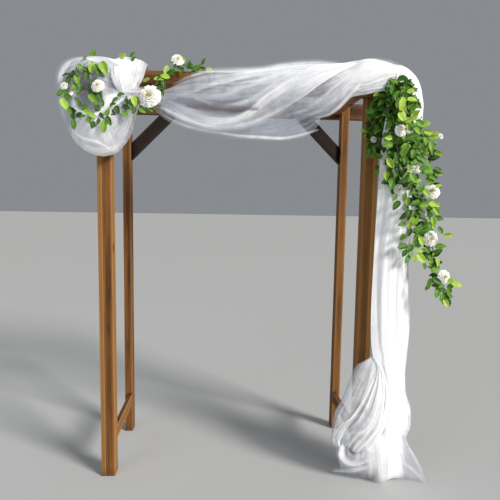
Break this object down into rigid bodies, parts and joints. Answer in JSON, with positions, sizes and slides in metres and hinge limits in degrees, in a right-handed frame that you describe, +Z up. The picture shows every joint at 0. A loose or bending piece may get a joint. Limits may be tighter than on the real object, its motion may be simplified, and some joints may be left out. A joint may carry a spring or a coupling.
{
  "type": "wooden wedding arch",
  "caption": "Stained timber wedding arch on posts, knee-braced at the back and draped in gathered tulle with a corner bundle, swag and train, and garlands of leaves and white roses.",
  "frame": {"origin": "middle of the foot of the built-up front left post, on the ground", "axes": "+X to the right along the front beam, +Y from the front frame to the back frame, +Z up"},
  "size_m": [2.0686, 0.878, 2.2845],
  "materials": {
    "stained_pine": "rough-sawn pine with a brown oil stain, matt",
    "tulle": "soft white net, sheer in one layer",
    "garland_leaf": "printed fabric leaves on wired stems, slightly waxy",
    "rose_petal": "matt ivory fabric petals"
  },
  "bodies": {
    "root": {"front_post_left": "stained_pine", "front_post_left_facing": "stained_pine", "back_post_left": "stained_pine", "top_side_rail_left": "stained_pine", "low_side_rail_left": "stained_pine", "knee_brace_left": "stained_pine", "front_post_right": "stained_pine", "front_post_right_facing": "stained_pine", "back_post_right": "stained_pine", "top_side_rail_right": "stained_pine", "low_side_rail_right": "stained_pine", "knee_brace_right": "stained_pine", "front_beam": "stained_pine", "back_beam": "stained_pine", "tulle_pouf": "tulle", "tulle_swag": "tulle", "tulle_fall": "tulle", "tulle_train": "tulle", "tulle_tail": "tulle", "garland_left": "garland_leaf", "garland_right": "garland_leaf", "rose_left_1": "rose_petal", "rose_left_2": "rose_petal", "rose_left_3": "rose_petal", "rose_left_4": "rose_petal", "rose_left_5": "rose_petal", "rose_right_1": "rose_petal", "rose_right_2": "rose_petal", "rose_right_3": "rose_petal", "rose_right_4": "rose_petal", "rose_right_5": "rose_petal", "rose_right_6": "rose_petal", "rose_right_7": "rose_petal", "rose_right_8": "rose_petal", "rose_right_9": "rose_petal", "rose_right_10": "rose_petal", "rose_right_11": "rose_petal", "rose_right_12": "rose_petal"}
  },
  "joints": []
}
